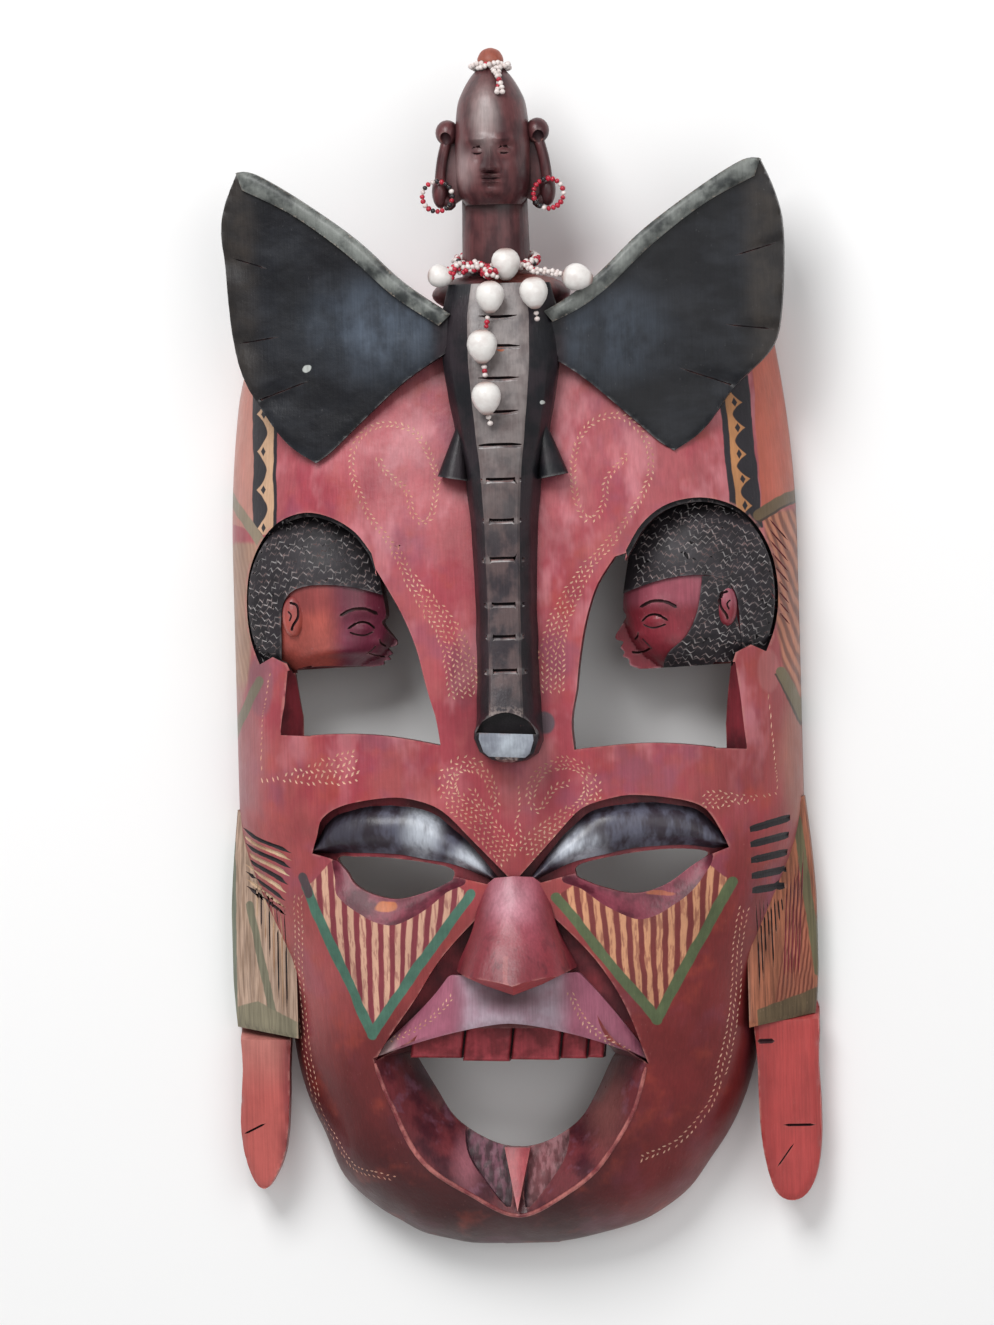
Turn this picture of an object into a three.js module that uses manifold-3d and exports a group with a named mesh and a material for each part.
// A carved and painted wooden mask: a wide face with an open mouth, an elephant spread over its forehead,
// a small head looking in at each side window, a head on a long neck for a crest, and strings of beads.
// Millimetres. It lies on its back rim: +Z comes out of the face, +Y runs up to the crest, +X is the
// viewer's right. The origin is under the middle of the mask, on the surface that it lies on.
import * as THREE from "three";
import { mergeVertices } from "three/addons/utils/BufferGeometryUtils.js";
import Module from "manifold-3d";

const wasm = await Module();
wasm.setup();
const { Manifold, Mesh } = wasm;
const { lerp, smoothstep, degToRad } = THREE.MathUtils;

// Driving dimensions
const halfHeight = 251;
const clear = 100;

const shell = {
  top: 140,
  sideHalfWidth: 118.5,
  topHalfWidth: 108,
  taperFrom: 40,
  jawHalfWidth: 98,
  jawCentre: -150,
  jawRound: 2.1,
  cheekFrom: -66,
  cheekTo: -160,
  rimHeight: 6,
  crestHeight: 66,
  topHeight: 52,
  jawHeight: 58,
  roundness: 2.8,
  steepness: 0.53,
  chinEnd: 0.11,
};
const outerGrid = { columns: 14, upperRows: 10, jawRows: 7 };
const hollow = {
  centre: -55,
  scale: new THREE.Vector3(0.9, 0.945, 0.8),
  chinScale: 0.42,
  chinFrom: -140,
  chinTo: -190,
  below: 4,
  grid: { columns: 10, upperRows: 4, jawRows: 5 },
};

// Corners of the outlines on the right side of the face; the left is their mirror image
const windowInner = [[29, -42], [31, -29], [34.7, -14.5], [39, 1], [44, 15], [49.5, 28], [52.4, 33]];
const windowSill = [[87, -40], [75, -38.8], [60, -38.4], [45, -39.5]];
const neckPost = { inner: 87, outer: 97.5, top: -9, bottom: -40, depth: 12 };
const hairEdge = [[56, 40], [63, 49], [73, 55.5], [84, 58.5], [95, 55], [103, 46], [108.5, 33], [110, 19]];
const hairNape = [[108.5, 6], [104, -6]];
const hairLine = [[97, -9], [96, 3], [94.5, 20], [86, 27], [66, 26.5], [42, 19], [42, 33]];
const beardLine = [[98, -13], [63, -13], [67, -5], [74.6, 2.3], [78.7, 12.8], [81, 27], [90, 27]];
const profileLine = [
  [0.8, 22], [0, 14], [1.8, 10.8], [-3.2, 3.6], [-2.8, 1.4], [0.4, 0.4], [-1.2, -2], [0.6, -3.8], [-0.4, -5.6],
  [2.4, -7], [2.6, -9.4], [7.5, -11.2],
];
const sideHead = {
  centre: new THREE.Vector3(80, 23, 25),
  radii: new THREE.Vector3(37, 40, 27),
  tilt: 12,
  hairRaise: 1.6,
  jawLine: -13,
  backHeight: 24,
  grooveScale: 1.07,
  grooveDepth: 5,
  brow: { left: 52, right: 48.5 },
  ear: { centre: new THREE.Vector3(90.5, 15, 47), radii: new THREE.Vector3(4.6, 9, 4) },
};

const socket = {
  outline: [
    [89, -86], [86.7, -77.8], [79.4, -65], [68.4, -60.2], [54.3, -58.5], [42.9, -59.6], [29.2, -67.2], [16.5, -80.5],
    [1.2, -96.8], [9, -99], [30, -94], [54, -90], [78, -90],
  ],
  depth: 7,
};
const lid = {
  top: [[9, -95.5], [20, -82.1], [32.1, -70.6], [45.8, -64.2], [63, -62.9], [75.7, -67.6], [85.7, -77], [89, -84]],
  low: [[8.5, -97.5], [23.7, -90.6], [37.7, -87.5], [50.6, -85.1], [70.7, -84.5], [82.3, -86.2], [89, -85.5]],
  heights: [-6.5, -2.2, -1.6, -3.4, -7.5],
  back: -17,
  columns: 8,
};
const eye = {
  hole: [
    [80, -88], [72.8, -93.6], [62.3, -100.7], [50.2, -104], [38.1, -101.6], [29.3, -98.2], [25.5, -95.5], [28, -91],
    [50, -87], [68, -86],
  ],
  rim: [
    [82, -88], [78, -98], [68.7, -107.3], [53, -114.8], [39, -109.5], [28, -101.5], [20, -97.5], [26, -90], [50, -86],
    [68, -86],
  ],
  depth: 5,
  beyond: 1.3,
};
const laughLine = { outline: [[14, -107], [33, -131], [47, -154], [57, -175.5], [40, -163], [23, -135]], depth: 9 };

const nose = {
  outline: [[8, -103], [15, -111], [20.5, -122], [24.6, -133.8], [12, -141.4]],
  top: -94,
  tip: -146,
  base: 52,
  topRadii: [11, 17],
  tipRadii: [30, 45],
  underFacet: { rise: 15, run: 7, below: 12 },
};
const upperLip = {
  halfWidth: 58,
  centre: -2,
  columns: 10,
  muzzle: 27,
  ridge: 21,
  corner: -174.5,
  archTop: -157.5,
  archPower: 1.5,
  noseLine: -136,
  centreHeight: 73,
  ridgeHeight: 70,
  cornerHeight: 48,
  sideFall: 4,
  thickness: 15,
};
const mouth = {
  hole: [
    [-28, -160], [-43, -172], [-34, -187], [-26, -199.4], [-13, -208], [0, -211], [13, -208], [26, -199.4], [34, -187],
    [41, -172], [28, -160],
  ],
  lipEdge: [
    [-29, -160], [-58, -174.5], [-50, -195], [-35.7, -216.3], [-19, -230], [0, -238.5], [19, -230], [35.7, -216.3],
    [50, -195], [56.5, -174.5], [29, -160],
  ],
  holeHeight: 24,
  beyond: 1.4,
};
// The whole mouth sits a little to the left and turned, and the face round it is drawn along
const mouthSet = {
  centre: [0, -188], shift: [-5, 3], turn: -2.5, sideFade: [60, 88], topFade: [-182, -140], edgeFade: [0.88, 1],
};
const teeth = { left: -43, right: 38, top: -155, bottom: -174.5, back: 36, front: 50, gaps: [-21, -1, 19.5], gapWidth: 3 };
const tongue = { halfWidth: 5.4, top: -211, tip: -236.5, back: 16, topHeight: 28.5, tipHeight: 38 };
const lipGroove = {
  outline: [[5.6, -208], [20, -201], [21, -212], [14, -224], [3, -235]],
  topFloor: 22.5,
  tipFloor: 30,
};

const panel = {
  rows: 4,
  innerX: 94.5,
  innerTop: -79,
  innerBottom: -162,
  innerFront: 31,
  outerX: 119,
  outerTop: -66,
  outerBottom: -157,
  outerFront: 12,
  bulge: 4,
};
const lobe = {
  left: [
    [99.5, -150], [118.5, -150], [119.5, -175], [121, -197], [119.5, -211], [115.5, -222], [111, -225], [106.5, -220],
    [102, -210], [99.9, -196], [99, -175],
  ],
  right: [
    [98, -150], [121, -150], [122, -178], [122.8, -203], [120.8, -222], [116, -232.5], [109.5, -235], [103.5, -231],
    [99.8, -219], [97.8, -203], [97.4, -178],
  ],
  innerX: 98,
  innerFront: 26.5,
  slope: 0.5,
  thickness: 12,
  bevel: 2.6,
};

const elephantEar = {
  outline: [
    [20, 138], [40, 152], [60, 171], [84, 188.5], [102, 199.5], [109, 200.5], [115, 186], [118, 170], [116.7, 139],
    [112.4, 121], [100, 99], [90, 86], [78.8, 78.4], [72, 83], [60.5, 93.6], [40, 111.5], [20, 124],
  ],
  rim: [
    [22, 140.5], [40, 153.5], [60, 172.5], [84, 190], [102, 200.4], [110, 200.4], [107, 192], [86, 182], [64, 165.5],
    [44, 147], [25, 134],
  ],
  rootX: 20,
  rootHeight: 66,
  fall: 0.215,
  thickness: 11,
  bevel: 1.6,
  rimRaise: 3.4,
  pleats: [[[96, 133], [121, 128]], [[87, 114], [110, 105]], [[101, 168], [122, 172]]],
  pleatWidth: 1.6,
};
const trunk = {
  section: [[-1, -0.4], [-1, 0.35], [-0.82, 0.72], [-0.47, 1], [0.47, 1], [0.82, 0.72], [1, 0.35], [1, -0.4]],
  base: 56,
  stations: [
    { y: 151, halfWidth: 21, front: 66 },
    { y: 138, halfWidth: 24.5, front: 71 },
    { y: 118, halfWidth: 24.2, front: 75 },
    { y: 96, halfWidth: 20.8, front: 78 },
    { y: 74, halfWidth: 16.4, front: 80 },
    { y: 52, halfWidth: 14, front: 81 },
    { y: 20, halfWidth: 13, front: 82 },
    { y: -10, halfWidth: 13, front: 85 },
    { y: -27, halfWidth: 13.4, front: 88 },
    { y: -40, halfWidth: 14, front: 90 },
    { y: -45.5, halfWidth: 11.8, front: 89 },
    { y: -48.6, halfWidth: 7.6, front: 87 },
    { y: -49.6, halfWidth: 3.6, front: 84 },
  ],
  rings: [137, 125, 111.5, 97.5, 84, 69.5, 52.5, 36.5, 17, 3, -11],
  ringLength: 15,
  ringWidth: 2,
  nostril: [[-12.6, -37.4], [-9, -32], [0, -28.6], [9, -32], [12.6, -37.4]],
  nostrilFloor: 83,
};
const tusk = { centre: [21, 78, 66], length: 21, tip: 1.6, butt: 6.6, sides: 6, lean: 10 };

const crest = {
  x: -2,
  z: 45,
  depth: 1.12,
  sides: 10,
  profile: [
    [0, 184], [12, 184], [15, 190], [15.6, 200], [15.6, 212], [14.4, 225], [12, 231.6], [8.5, 237.4], [5.2, 241],
    [5.5, 246], [3.6, 249.6], [0, 251],
  ],
  neck: { radius: 13.6, z: 41, top: 190, bottom: 140 },
  shoulder: { centre: [0, 147, 45], radii: [29, 9, 19] },
  nose: { centre: [-2, 203.5, 61.5], radii: [3.2, 4.4, 4.4] },
  lips: { centre: [-2, 194.4, 60.2], radii: [7, 2.3, 3.6] },
  eye: { x: 6.2, y: 207.5, z: 61.5, radii: [3.6, 1.9, 2] },
  earKnob: { x: 18.8, y: 214.5, radii: [5, 5.4, 5] },
  earLobe: { x: 22.4, y: 190, radii: [3.5, 7, 4] },
  earStrip: [[18.5, 213], [21.4, 202], [22, 190], [17, 183]],
  earStripRadius: 2.3,
};

// Beads: each large one with the place of its middle, its size and how far it is turned in the face's plane
const largeBeads = {
  bead_1: { at: [-26, 155.5, 62], size: 0.78, turn: 80 },
  bead_2: { at: [3.4, 161.5, 63.5], size: 0.98, turn: 0 },
  bead_3: { at: [-2.6, 145.2, 76.5], size: 0.97, turn: 0 },
  bead_4: { at: [15.5, 146.4, 75.5], size: 0.96, turn: 5 },
  bead_5: { at: [33.9, 154.5, 71.5], size: 0.92, turn: 80 },
  bead_6: { at: [-6.2, 124.7, 81], size: 1.02, turn: 0 },
  bead_7: { at: [-4.8, 104.1, 84.5], size: 1, turn: 4 },
};
const beadProfile = [[0, -7.2], [2, -6.4], [5, -3.2], [6.2, 0.8], [5.2, 4.4], [2.6, 6.6], [0, 7]];
const beadSides = 7;
const seed = { radius: 1.35, halfLength: 2, pitch: 3.1, sides: 3 };
const strings = {
  seeds_chain_upper: [[-4, 136.1, 75.8], [-4.5, 133.5, 76.4]],
  seeds_chain_lower: [[-5.6, 115.4, 80.2], [-5.3, 113.4, 80.6]],
  seeds_chain_end: [[-4.2, 95.2, 82], [-3.6, 93, 82]],
  seeds_short_end: [[16.2, 137.8, 73.6], [16.5, 135.8, 73.4]],
  seeds_front: [[-19.6, 157.5, 62], [-12, 157, 61], [-5.5, 153.6, 63.6], [-1.6, 154.4, 72]],
  seeds_right: [[12.4, 158.4, 66], [15.2, 155.6, 70], [20, 156.4, 70.5], [24.8, 156, 71.5]],
};
const rings = {
  seeds_necklace: { centre: [-2, 161, 41], radius: 16.6, tilt: 12 },
  seeds_topknot: { centre: [-2, 241.8, 45], radius: 7.7, tilt: -4 },
  seeds_ear_left: { centre: [-25.2, 188, 51.6], radius: 6.3, tilt: 84 },
  seeds_ear_right: { centre: [21.2, 188, 51.6], radius: 6.3, tilt: 84 },
};

// How far down the jaw a height is, from 0 at its centre to 1 at the chin
function jawShare(y) {
  return Math.min(1, Math.max(0, (shell.jawCentre - y) / (halfHeight + shell.jawCentre)));
}

function halfWidthAt(y) {
  const { jawRound, taperFrom, sideHalfWidth, jawHalfWidth } = shell;
  const jaw = jawHalfWidth * Math.pow(1 - Math.pow(jawShare(y), jawRound), 1 / jawRound);
  const cheek = smoothstep(y, shell.cheekTo, shell.cheekFrom) * (sideHalfWidth - jawHalfWidth);
  const up = Math.max(0, (y - taperFrom) / (shell.top - taperFrom));
  return jaw + cheek - (sideHalfWidth - shell.topHalfWidth) * up * up;
}

// Height of the face above the back rim
function frontAt(x, y) {
  const { jawRound, roundness, steepness, rimHeight } = shell;
  const wide = Math.max(shell.jawHalfWidth, halfWidthAt(Math.max(y, shell.jawCentre)));
  const across = Math.pow(Math.abs(x) / wide, jawRound);
  const reach = Math.min(1, Math.pow(across + Math.pow(jawShare(y), jawRound), 1 / jawRound));
  const falloff = Math.pow(1 - Math.pow(reach, roundness), steepness);
  const upper = lerp(shell.crestHeight, shell.topHeight, smoothstep(y, 20, shell.top));
  const crown = lerp(shell.jawHeight, upper, smoothstep(y, -210, -110));
  return rimHeight + (crown - rimHeight) * falloff;
}

// Makes a solid of a closed geometry. Turning a mirrored one's triangles round keeps it facing out.
function solid(geometry, matrix = new THREE.Matrix4()) {
  const bare = new THREE.BufferGeometry().setAttribute("position", geometry.getAttribute("position").clone());
  if (geometry.index) bare.setIndex(geometry.index.clone());
  const merged = mergeVertices(bare.applyMatrix4(matrix), 1e-3);
  const corners = new Uint32Array(merged.index.array);
  if (matrix.determinant() < 0) {
    for (let i = 0; i < corners.length; i += 3) {
      [corners[i + 1], corners[i + 2]] = [corners[i + 2], corners[i + 1]];
    }
  }
  const vertProperties = merged.attributes.position.array;
  return new Manifold(new Mesh({ numProp: 3, vertProperties, triVerts: corners }));
}

// Moves every corner of a geometry by a function of its place
function warp(geometry, move) {
  const position = geometry.getAttribute("position");
  const p = new THREE.Vector3();
  for (let i = 0; i < position.count; i++) {
    p.fromBufferAttribute(position, i);
    move(p);
    position.setXYZ(i, p.x, p.y, p.z);
  }
  return geometry;
}

// Turns heights measured from the face into heights above the back rim
function follow(geometry) {
  return warp(geometry, (p) => {
    p.z += frontAt(p.x, p.y);
  });
}

const mirrorX = new THREE.Matrix4().makeScale(-1, 1, 1);
const onSide = (side) => (side === "left" ? mirrorX : new THREE.Matrix4());

function bothSides(geometry) {
  return solid(geometry).add(solid(geometry, mirrorX));
}

function union(parts) {
  return parts.reduce((all, next) => all.add(next));
}

function outline(corners) {
  return new THREE.Shape(corners.map(([x, y]) => new THREE.Vector2(x, y)));
}

function mirroredOutline(corners, first, last) {
  const back = corners.map(([x, y]) => [-x, y]).reverse();
  return outline([first, ...corners, last, ...back]);
}

// An outline made thick from one height to another, with its edges taken off by the bevel
function slab(shape, low, high, bevel = 0, steps = 1) {
  const made = new THREE.ExtrudeGeometry(shape, {
    depth: high - low - 2 * bevel,
    steps,
    bevelEnabled: bevel > 0,
    bevelThickness: bevel,
    bevelSize: bevel,
    bevelOffset: -bevel,
    bevelSegments: 1,
  });
  return made.translate(0, 0, low + bevel);
}

function rod(points, radius, steps, sides) {
  const extrudePath = new THREE.CatmullRomCurve3(points.map((point) => new THREE.Vector3(...point)));
  const section = new THREE.Shape().absarc(0, 0, radius, 0, 2 * Math.PI);
  const settings = { extrudePath, steps, bevelEnabled: false, curveSegments: sides };
  return solid(new THREE.ExtrudeGeometry(section, settings));
}

function ball([x, y, z], radii, across = 10, down = 6) {
  const sphere = new THREE.SphereGeometry(1, across, down).scale(...radii);
  return solid(sphere.translate(x, y, z));
}

// The block that the mask is carved from, with its front raised to the face
function shellGeometry({ columns, upperRows, jawRows }) {
  const rows = upperRows + jawRows;
  const jawReach = halfHeight + shell.jawCentre;
  const lastTurn = 0.476 * Math.PI;
  const block = new THREE.BoxGeometry(2, rows, 1, columns, rows, 1);
  return warp(block, (p) => {
    const row = Math.round(rows / 2 - p.y);
    const isLast = row === rows;
    const jawTurn = ((row - upperRows) / jawRows) * lastTurn;
    const jawY = shell.jawCentre - jawReach * (isLast ? 1 : Math.sin(jawTurn));
    const y = row <= upperRows ? lerp(shell.top, shell.jawCentre, row / upperRows) : jawY;
    const width = isLast ? shell.jawHalfWidth * shell.chinEnd : halfWidthAt(y);
    const x = Math.sin((p.x * Math.PI) / 2) * width;
    p.set(x, y, p.z > 0 ? frontAt(x, y) : 0);
  });
}

function carvedShell() {
  const inside = warp(shellGeometry(hollow.grid), (p) => {
    const chin = 1 - smoothstep(p.y, hollow.chinTo, hollow.chinFrom);
    p.y = hollow.centre + (p.y - hollow.centre) * hollow.scale.y;
    p.x *= hollow.scale.x;
    p.z = p.z === 0 ? -hollow.below : p.z * lerp(hollow.scale.z, hollow.chinScale, chin);
  });
  return solid(shellGeometry(outerGrid)).subtract(solid(inside));
}

// The head that looks in at a window, before the window's opening cuts its profile
function lookingHead(side) {
  const { centre, radii, tilt, hairRaise, jawLine, backHeight, ear } = sideHead;
  const cap = (shape) => solid(slab(outline(shape), backHeight, clear), onSide(side));
  const dome = (lowered) => {
    const sphere = new THREE.SphereGeometry(1, 12, 6).scale(radii.x - lowered, radii.y - lowered, radii.z - lowered);
    return solid(sphere.rotateY(degToRad(tilt)).translate(centre.x, centre.y, centre.z), onSide(side));
  };
  const hairCap = cap([...hairEdge, ...hairNape, ...hairLine]);
  const hair = side === "right" ? hairCap.add(cap(beardLine)) : hairCap;
  const whole = cap([...hairEdge, ...hairNape, [98, jawLine], [42, jawLine], [42, 30]]);
  const earForm = new THREE.SphereGeometry(1, 8, 6).scale(...ear.radii.toArray()).translate(...ear.centre.toArray());
  return union([dome(0).intersect(hair), dome(hairRaise).intersect(whole), solid(earForm, onSide(side))]);
}

function headGroove() {
  const { centre, grooveScale, grooveDepth } = sideHead;
  const around = hairEdge.concat(hairNape).map(([x, y]) => [
    centre.x + (x - centre.x) * grooveScale,
    centre.y + (y - centre.y) * grooveScale,
  ]);
  return slab(outline([...around, [60, -9], [53, 30]]), -grooveDepth, clear);
}

function sideWindow(side) {
  const brow = sideHead.brow[side];
  const profile = profileLine.map(([x, y]) => [brow + x, y]);
  const corners = [...windowInner, [54.2, 34], ...profile, [91.3, -9.6], ...windowSill];
  return solid(slab(outline(corners), -5, clear), onSide(side));
}

// The slope that is cut down into the window beside the small head's neck
function neckSlope() {
  const { inner, outer, top, bottom, depth } = neckPost;
  const corners = [[inner - 3, bottom], [outer, bottom], [outer - 4, top], [inner - 3, top]];
  return warp(slab(outline(corners), 0, 1), (p) => {
    const share = (outer - p.x) / (outer - inner);
    p.z = p.z > 0.5 ? clear : frontAt(outer, p.y) + 0.5 - depth * share;
  });
}

// A strip between two lines that run the same way, with the heights given across it from low to top
function strip({ top, low, heights, back, columns }) {
  const lines = [low, top].map((line) => new THREE.SplineCurve(line.map(([x, y]) => new THREE.Vector2(x, y))));
  const rows = heights.length - 1;
  return warp(new THREE.BoxGeometry(1, 1, 1, columns, rows, 1), (p) => {
    const along = p.x + 0.5;
    const across = p.y + 0.5;
    const at = lines[0].getPointAt(along).lerp(lines[1].getPointAt(along), across);
    p.set(at.x, at.y, p.z > 0 ? heights[Math.round(across * rows)] : back);
  });
}

// A hole with straight sides up to one height, and then opening out to a wider edge on the face
function flaredHole(hole, edge, holeHeight, beyond) {
  return warp(slab(outline(hole), 0, 3, 0, 3), (p) => {
    const distance = hole.map(([x, y]) => Math.hypot(x - p.x, y - p.y));
    const [edgeX, edgeY] = edge[distance.indexOf(Math.min(...distance))];
    const level = Math.round(p.z);
    const start = holeHeight(p.x, p.y);
    const end = lerp(start, frontAt(edgeX, edgeY), beyond);
    const share = level < 2 ? 0 : beyond;
    p.set(lerp(p.x, edgeX, share), lerp(p.y, edgeY, share), [-5, start, end, clear][level]);
  });
}

function noseForm() {
  const { top, tip, base, topRadii, tipRadii, underFacet } = nose;
  const wedge = warp(new THREE.CylinderGeometry(1, 1, 1, 14, 3), (p) => {
    const down = 0.5 - p.y;
    const width = lerp(topRadii[0], tipRadii[0], down);
    const height = lerp(topRadii[1], tipRadii[1], down);
    p.set(p.x * width, lerp(top, tip - 4, down), base + p.z * height);
  });
  const plan = mirroredOutline(nose.outline, [0, -96], [0, tip]);
  let made = solid(wedge).intersect(solid(slab(plan, 40, 110)));
  const [wingX, wingY] = nose.outline[3];
  for (const side of [-1, 1]) {
    const along = new THREE.Vector3(side * wingX, wingY - tip, 0).normalize();
    const out = new THREE.Vector3(side * along.y, -Math.abs(along.x), 0);
    const facing = out.multiplyScalar(underFacet.rise).setZ(underFacet.run).normalize();
    const turn = new THREE.Matrix4().makeBasis(along, facing, along.clone().cross(facing));
    const cut = new THREE.BoxGeometry(90, 20, 90).translate(0, 10, 0).applyMatrix4(turn);
    made = made.subtract(solid(cut.translate(0, tip, base + tipRadii[1] - underFacet.below)));
  }
  return made;
}

function upperLipForm() {
  const lip = upperLip;
  return warp(new THREE.BoxGeometry(2, 1, 1, lip.columns, 1, 1), (p) => {
    const across = Math.abs(p.x);
    const reach = across * lip.halfWidth;
    const beside = Math.max(0, (reach - lip.muzzle) / (lip.halfWidth - lip.muzzle));
    const low = lerp(lip.archTop, lip.corner, Math.pow(across, lip.archPower));
    const high = lerp(lip.noseLine, lip.corner + 1.5, beside);
    const fromRidge = Math.max(0, (reach - lip.ridge) / (lip.halfWidth - lip.ridge));
    const nearRidge = lerp(lip.centreHeight, lip.ridgeHeight, Math.min(1, reach / lip.ridge));
    const front = lerp(nearRidge, lip.cornerHeight, fromRidge);
    const isHigh = p.y > 0;
    const fall = isHigh ? lip.sideFall * Math.min(1, fromRidge * 3) * (1 - fromRidge) : 0;
    const x = p.x * lip.halfWidth + lip.centre * (1 - across);
    p.set(x, isHigh ? high : low, p.z > 0 ? front - fall : front - lip.thickness);
  });
}

function teethRow() {
  const { left, right, top, bottom, back, front, gaps, gapWidth } = teeth;
  const block = new THREE.BoxGeometry(right - left, top - bottom, front - back);
  let row = solid(block.translate((right + left) / 2, (top + bottom) / 2, (front + back) / 2));
  for (const x of gaps) {
    const notch = new THREE.BoxGeometry(gapWidth, clear, gapWidth).rotateY(Math.PI / 4);
    row = row.subtract(solid(notch.translate(x, top, front + 0.4)));
  }
  return row;
}

function tongueForm() {
  const { halfWidth, top, tip, back, topHeight, tipHeight } = tongue;
  return warp(slab(outline([[-halfWidth, top], [0, tip], [halfWidth, top]]), 0, 1), (p) => {
    const share = (top - p.y) / (top - tip);
    p.z = p.z > 0.5 ? lerp(topHeight, tipHeight, share) : back;
  });
}

function lipGrooveCut() {
  const { topFloor, tipFloor } = lipGroove;
  return warp(slab(outline(lipGroove.outline), 0, 1), (p) => {
    const share = (tongue.top - p.y) / (tongue.top - tongue.tip);
    p.z = p.z > 0.5 ? clear : lerp(topFloor, tipFloor, share);
  });
}

function panelForm() {
  return warp(new THREE.BoxGeometry(1, 1, 1, 1, panel.rows, 1), (p) => {
    const down = 0.5 - p.y;
    const isOuter = p.x > 0;
    const x = isOuter ? panel.outerX + panel.bulge * Math.sin(Math.PI * 0.8 * down) : panel.innerX;
    const top = isOuter ? panel.outerTop : panel.innerTop;
    const bottom = isOuter ? panel.outerBottom : panel.innerBottom;
    p.set(x, lerp(top, bottom, down), p.z > 0 ? (isOuter ? panel.outerFront : panel.innerFront) : 0);
  });
}

function lobeForm(side) {
  const { innerX, innerFront, slope, thickness, bevel } = lobe;
  const made = slab(outline(lobe[side]), -thickness, 0, bevel);
  warp(made, (p) => {
    p.z += innerFront - slope * (p.x - innerX);
  });
  return solid(made, onSide(side));
}

function elephantEars() {
  const { rootX, rootHeight, fall, thickness, bevel, rimRaise, pleatWidth } = elephantEar;
  const heightAt = (x) => rootHeight - (x - rootX) * fall;
  const sloped = (geometry) => warp(geometry, (p) => p.setZ(p.z + heightAt(p.x)));
  const leaf = slab(outline(elephantEar.outline), -thickness, 0, bevel);
  const rim = slab(outline(elephantEar.rim), -thickness, rimRaise, bevel);
  let right = solid(sloped(leaf)).add(solid(sloped(rim)));
  for (const [[x0, y0], [x1, y1]] of elephantEar.pleats) {
    const cut = new THREE.BoxGeometry(Math.hypot(x1 - x0, y1 - y0), pleatWidth, pleatWidth).rotateX(Math.PI / 4);
    cut.rotateY(Math.atan(fall)).rotateZ(Math.atan2(y1 - y0, x1 - x0));
    right = right.subtract(solid(cut.translate((x0 + x1) / 2, (y0 + y1) / 2, heightAt((x0 + x1) / 2))));
  }
  return right.add(right.mirror([1, 0, 0]));
}

function trunkFront(y) {
  const next = trunk.stations.findIndex((station) => station.y < y);
  const [above, below] = [trunk.stations[next - 1], trunk.stations[next]];
  return lerp(above.front, below.front, (above.y - y) / (above.y - below.y));
}

function elephantTrunk() {
  const { section, base, stations, ringLength, ringWidth, nostril, nostrilFloor } = trunk;
  const count = stations.length - 1;
  const length = warp(slab(outline(section), 0, count, 0, count), (p) => {
    const station = stations[Math.round(p.z)];
    p.set(p.x * station.halfWidth, station.y, lerp(base, station.front, p.y));
  });
  let made = solid(length).subtract(solid(slab(outline(nostril), nostrilFloor, clear)));
  for (const y of trunk.rings) {
    const cut = new THREE.BoxGeometry(ringLength, ringWidth, ringWidth).rotateX(Math.PI / 4);
    made = made.subtract(solid(cut.translate(0, y, trunkFront(y) + 0.1)));
  }
  return made;
}

function tusks() {
  const { centre, length, tip, butt, sides, lean } = tusk;
  return bothSides(new THREE.CylinderGeometry(tip, butt, length, sides).rotateZ(degToRad(lean)).translate(...centre));
}

function crestFigure() {
  const { x, z, neck, earKnob, earLobe } = crest;
  const turned = new THREE.LatheGeometry(crest.profile.map(([r, y]) => new THREE.Vector2(r, y)), crest.sides);
  const column = new THREE.CylinderGeometry(neck.radius, neck.radius + 1, neck.top - neck.bottom, crest.sides);
  const parts = [
    solid(turned.scale(1, 1, crest.depth).translate(x, 0, z)),
    solid(column.translate(x, (neck.top + neck.bottom) / 2, neck.z)),
    ball(crest.shoulder.centre, crest.shoulder.radii, 9, 5),
    ball(crest.nose.centre, crest.nose.radii, 6, 4),
    ball(crest.lips.centre, crest.lips.radii, 6, 4),
  ];
  for (const side of [-1, 1]) {
    parts.push(ball([x + side * earKnob.x, earKnob.y, z], earKnob.radii, 6, 4));
    parts.push(ball([x + side * earLobe.x, earLobe.y, z], earLobe.radii, 6, 4));
    parts.push(rod(crest.earStrip.map(([out, y]) => [x + side * out, y, z]), crest.earStripRadius, 3, 3));
  }
  const eyes = [-1, 1].map((side) => ball([x + side * crest.eye.x, crest.eye.y, crest.eye.z], crest.eye.radii, 6, 4));
  return union(parts).subtract(union(eyes));
}

function setMouth(point) {
  const [x, y] = point;
  const { centre, shift, turn, sideFade, topFade, edgeFade } = mouthSet;
  const reach = Math.hypot(x / shell.jawHalfWidth, jawShare(y));
  const share = (1 - smoothstep(Math.abs(x), ...sideFade)) * (1 - smoothstep(y, ...topFade)) * (1 - smoothstep(reach, ...edgeFade));
  const [cos, sin] = [Math.cos(degToRad(turn)), Math.sin(degToRad(turn))];
  const [u, v] = [x - centre[0], y - centre[1]];
  point[0] += share * (shift[0] + u * cos - v * sin - u);
  point[1] += share * (shift[1] + u * sin + v * cos - v);
}

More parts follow.
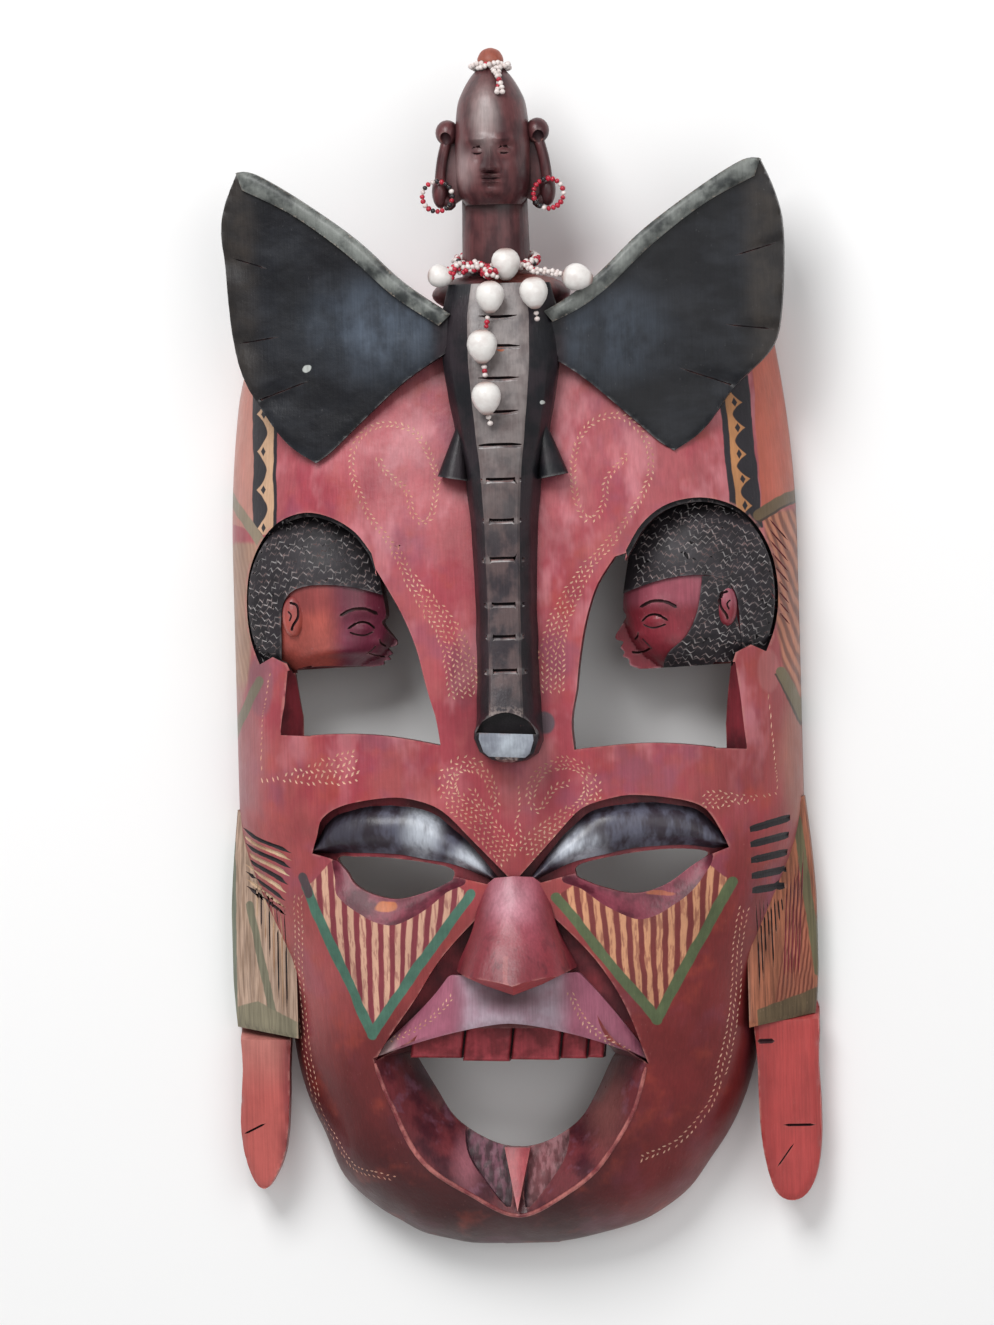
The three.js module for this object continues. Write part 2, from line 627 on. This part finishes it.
function maskBody() {
  let body = carvedShell().subtract(bothSides(follow(headGroove())));
  body = union([body, lookingHead("left"), lookingHead("right")]).subtract(bothSides(neckSlope()));
  body = body.subtract(sideWindow("left")).subtract(sideWindow("right"));
  body = body.subtract(bothSides(follow(slab(outline(socket.outline), -socket.depth, clear))));
  body = body.add(bothSides(follow(strip(lid))));
  body = body.subtract(bothSides(flaredHole(eye.hole, eye.rim, (x, y) => frontAt(x, y) - eye.depth, eye.beyond)));
  body = body.subtract(bothSides(follow(slab(outline(laughLine.outline), -laughLine.depth, clear))));
  body = body.subtract(solid(flaredHole(mouth.hole, mouth.lipEdge, () => mouth.holeHeight, mouth.beyond)));
  body = body.subtract(bothSides(lipGrooveCut())).add(solid(tongueForm()));
  body = union([body, teethRow(), solid(upperLipForm()), noseForm(), bothSides(panelForm())]);
  body = union([body, lobeForm("left"), lobeForm("right"), elephantEars(), elephantTrunk(), tusks()]);
  return body.warp(setMouth).add(crestFigure());
}

function largeBead({ at, size, turn }) {
  const turned = new THREE.LatheGeometry(beadProfile.map(([r, y]) => new THREE.Vector2(r, y)), beadSides);
  return solid(turned.scale(size, size, size).rotateZ(degToRad(turn)).translate(...at));
}

// Seed beads fused along a curve, near enough to each other to touch
function seedsAlong(curve, closed) {
  const count = Math.max(1, Math.round(curve.getLength() / seed.pitch));
  const profile = [[0, -seed.halfLength], [seed.radius, 0], [0, seed.halfLength]];
  const beads = [];
  for (let i = 0; i < (closed ? count : count + 1); i++) {
    const at = curve.getPointAt(i / count);
    const turn = new THREE.Quaternion().setFromUnitVectors(new THREE.Vector3(0, 1, 0), curve.getTangentAt(i / count));
    const bead = new THREE.LatheGeometry(profile.map(([r, y]) => new THREE.Vector2(r, y)), seed.sides);
    beads.push(solid(bead.applyQuaternion(turn).translate(at.x, at.y, at.z)));
  }
  return union(beads);
}

function seedString(points) {
  return seedsAlong(new THREE.CatmullRomCurve3(points.map((point) => new THREE.Vector3(...point))), false);
}

function seedRing({ centre, radius, tilt }) {
  const sides = 24;
  const points = [];
  for (let i = 0; i < sides; i++) {
    const turn = (2 * Math.PI * i) / sides;
    const flat = new THREE.Vector3(radius * Math.cos(turn), 0, radius * Math.sin(turn));
    points.push(flat.applyAxisAngle(new THREE.Vector3(1, 0, 0), degToRad(tilt)).add(new THREE.Vector3(...centre)));
  }
  return seedsAlong(new THREE.CatmullRomCurve3(points, true), true);
}

const paintedWood = new THREE.MeshStandardMaterial({ color: 0x8c3d40, roughness: 0.5, metalness: 0 });
const paleBead = new THREE.MeshStandardMaterial({ color: 0xe6dcd6, roughness: 0.35, metalness: 0 });
const seedBead = new THREE.MeshStandardMaterial({ color: 0xe9dedb, roughness: 0.3, metalness: 0 });

const group = new THREE.Group();
function addNode(name, made, material) {
  const data = made.getMesh();
  const geometry = new THREE.BufferGeometry();
  geometry.setAttribute("position", new THREE.BufferAttribute(new Float32Array(data.vertProperties), 3));
  geometry.setIndex(new THREE.BufferAttribute(new Uint32Array(data.triVerts), 1));
  geometry.computeVertexNormals();
  const mesh = new THREE.Mesh(geometry, material);
  mesh.name = name;
  group.add(mesh);
}

addNode("mask_body", maskBody(), paintedWood);
for (const [name, bead] of Object.entries(largeBeads)) addNode(name, largeBead(bead), paleBead);
for (const [name, points] of Object.entries(strings)) addNode(name, seedString(points), seedBead);
for (const [name, ring] of Object.entries(rings)) addNode(name, seedRing(ring), seedBead);

export default group;
